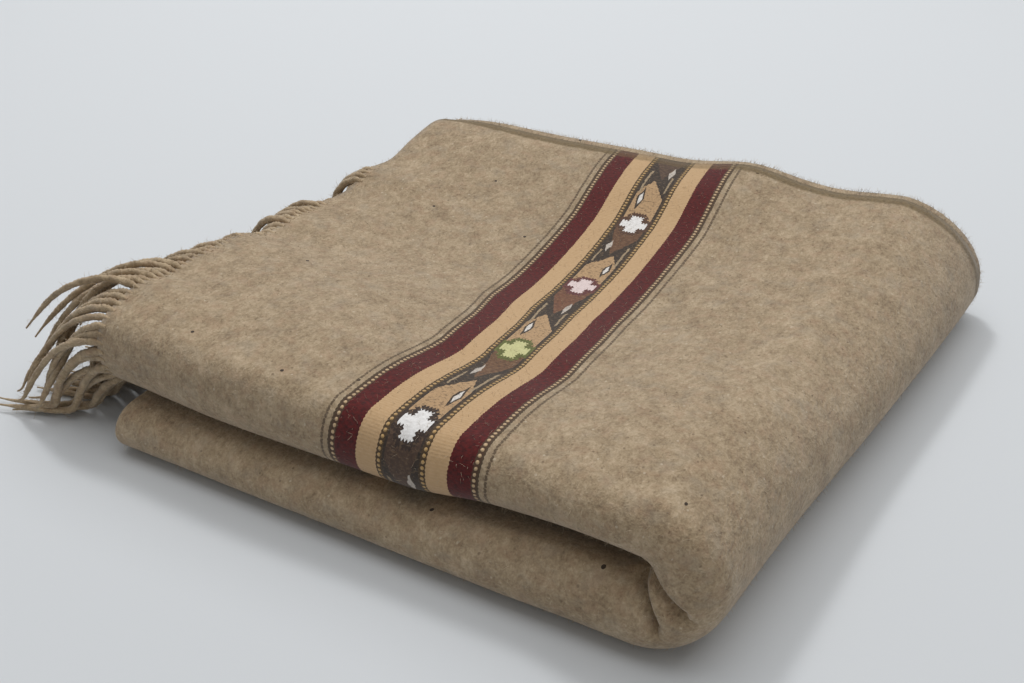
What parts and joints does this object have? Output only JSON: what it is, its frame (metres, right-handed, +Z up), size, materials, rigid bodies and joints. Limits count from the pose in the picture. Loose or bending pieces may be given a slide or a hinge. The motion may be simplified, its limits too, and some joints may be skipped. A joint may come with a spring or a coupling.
{
  "type": "folded wool shawl",
  "caption": "Wool shawl folded into a thick packet: rolled front edge, slit between two stacked halves, one big round fold and a twisted fringe along one end; worn as a wrap.",
  "frame": {"origin": "on the floor under the middle of the packet, on the flat underside of the cloth", "axes": "+Z up; +X along the warp from the fringed end to the big round fold; +Y along the weft from the rolled front to the back edges"},
  "size_m": [0.517, 0.4183, 0.086],
  "materials": {
    "wool_cloth": "fulled heather wool, matte and slightly fuzzy, with a woven border band",
    "wool_fringe": "twisted wool strands, matte"
  },
  "bodies": {
    "root": {"shawl_cloth": "wool_cloth", "shawl_fringe": "wool_fringe"}
  },
  "joints": []
}
